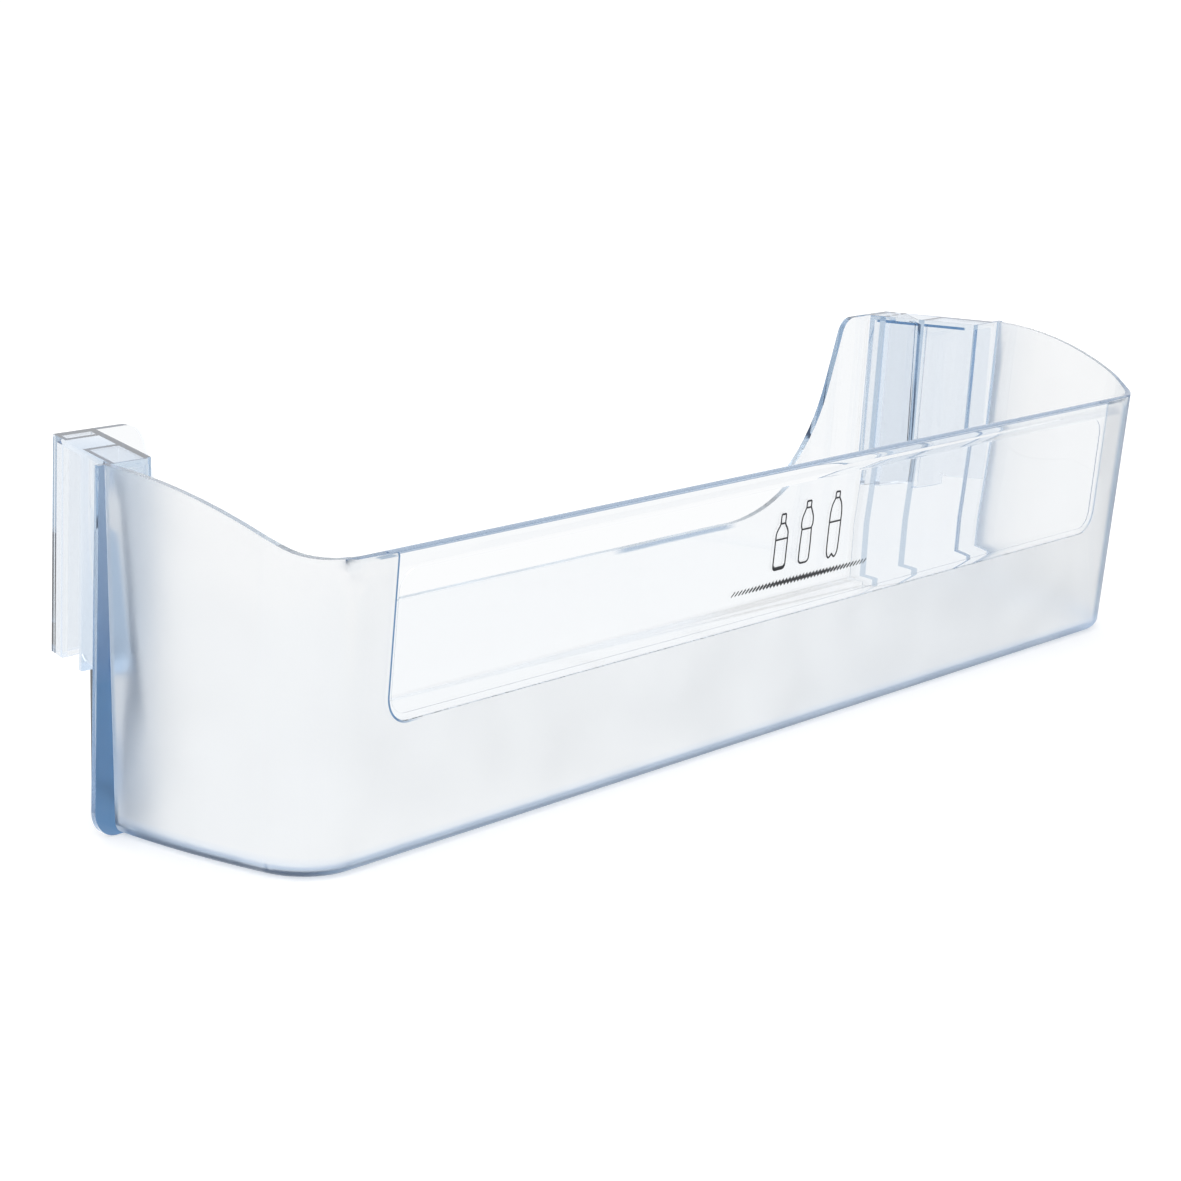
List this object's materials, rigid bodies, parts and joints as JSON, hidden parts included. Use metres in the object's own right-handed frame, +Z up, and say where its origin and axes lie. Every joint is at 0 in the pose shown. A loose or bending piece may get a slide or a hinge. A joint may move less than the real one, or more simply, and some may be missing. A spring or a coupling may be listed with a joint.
{
  "type": "refrigerator door shelf",
  "caption": "Clear moulded bin that hangs inside a refrigerator's door, with curved ends, a swept rim, a clear window and a bracket pocket at each rear corner.",
  "frame": {"origin": "under the middle of the shelf's box, on the plane it stands on", "axes": "+X along the shelf, +Y from the front rim to the rear face against the door, +Z up"},
  "size_m": [0.49, 0.12, 0.112],
  "materials": {
    "clear_plastic": "polished clear plastic with a faint blue tint, fine frosting outside the window",
    "print_ink": "thin screen-printed dark ink"
  },
  "bodies": {
    "root": {"door_shelf": "clear_plastic"}
  },
  "joints": []
}
